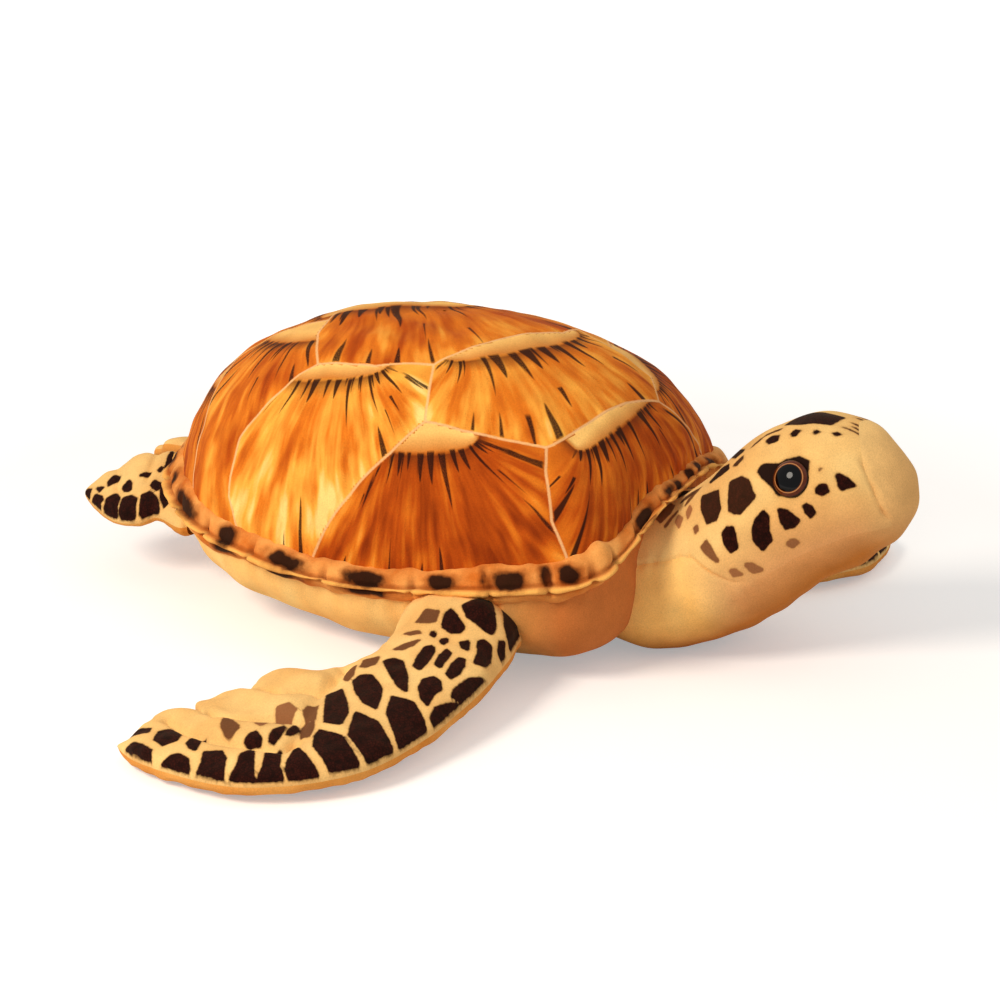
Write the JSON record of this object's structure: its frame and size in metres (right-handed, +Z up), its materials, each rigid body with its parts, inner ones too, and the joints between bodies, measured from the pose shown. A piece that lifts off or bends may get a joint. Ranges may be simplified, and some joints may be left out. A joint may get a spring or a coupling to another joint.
{
  "type": "stuffed sea turtle",
  "caption": "Stuffed sea turtle toy with a domed shell, a padded rim, a nodding neck and head, and four flippers that flap at their seams.",
  "frame": {"origin": "on the flat of the belly, 1 mm behind the point under the shell's crown, at the height of the floor", "axes": "+Z up, -Y the way the head looks, +X the turtle's own left"},
  "size_m": [0.4334, 0.4446, 0.156],
  "materials": {
    "printed_shell_plush": "short pile, printed with scutes",
    "printed_rim_plush": "short pile, printed with dark patches",
    "plain_belly_plush": "short pile",
    "printed_skin_plush": "short pile, printed with dark scales",
    "plain_underside_plush": "short pile",
    "plain_throat_plush": "short pile",
    "polyester_filling": "loose fibre",
    "eye_plastic": "glossy",
    "washer_plastic": "matte"
  },
  "bodies": {
    "body": {"shell_cover": "printed_shell_plush", "shell_rim_band": "printed_rim_plush", "belly_cover": "plain_belly_plush", "body_filling": "polyester_filling"},
    "head": {"head_cover": "printed_skin_plush", "throat_panel": "plain_throat_plush", "beak_panel": "plain_throat_plush", "head_filling": "polyester_filling", "eye_left": "eye_plastic", "eye_right": "eye_plastic", "eye_washer_left": "washer_plastic", "eye_washer_right": "washer_plastic"},
    "front_flipper_left": {"front_flipper_left_upper_panel": "printed_skin_plush", "front_flipper_left_under_panel": "plain_underside_plush", "front_flipper_left_filling": "polyester_filling"},
    "front_flipper_right": {"front_flipper_right_upper_panel": "printed_skin_plush", "front_flipper_right_under_panel": "plain_underside_plush", "front_flipper_right_filling": "polyester_filling"},
    "hind_flipper_left": {"hind_flipper_left_upper_panel": "printed_skin_plush", "hind_flipper_left_under_panel": "plain_underside_plush", "hind_flipper_left_filling": "polyester_filling"},
    "hind_flipper_right": {"hind_flipper_right_upper_panel": "printed_skin_plush", "hind_flipper_right_under_panel": "plain_underside_plush", "hind_flipper_right_filling": "polyester_filling"}
  },
  "joints": [
    {"name": "neck_nod", "type": "hinge", "parent": "body", "child": "head", "pos_m": [0, -0.108, 0.037], "axis": [-1, 0, 0], "range_deg": [-15, 4], "stiffness_Nm_per_rad": 2, "springref_deg": 2.29},
    {"name": "front_flipper_left_flap", "type": "hinge", "parent": "body", "child": "front_flipper_left", "pos_m": [0.10371, -0.055, 0.025], "axis": [0, -1, 0], "range_deg": [-15, 25], "stiffness_Nm_per_rad": 0.3},
    {"name": "front_flipper_right_flap", "type": "hinge", "parent": "body", "child": "front_flipper_right", "pos_m": [-0.10371, -0.055, 0.025], "axis": [0, 1, 0], "range_deg": [-15, 25], "stiffness_Nm_per_rad": 0.3},
    {"name": "hind_flipper_left_flap", "type": "hinge", "parent": "body", "child": "hind_flipper_left", "pos_m": [0.04086, 0.13098, 0.039], "axis": [0.9769, -0.2139, 0], "range_deg": [-20, 7], "stiffness_Nm_per_rad": 0.1},
    {"name": "hind_flipper_right_flap", "type": "hinge", "parent": "body", "child": "hind_flipper_right", "pos_m": [-0.04086, 0.13098, 0.039], "axis": [0.9769, 0.2139, 0], "range_deg": [-20, 7], "stiffness_Nm_per_rad": 0.1}
  ]
}
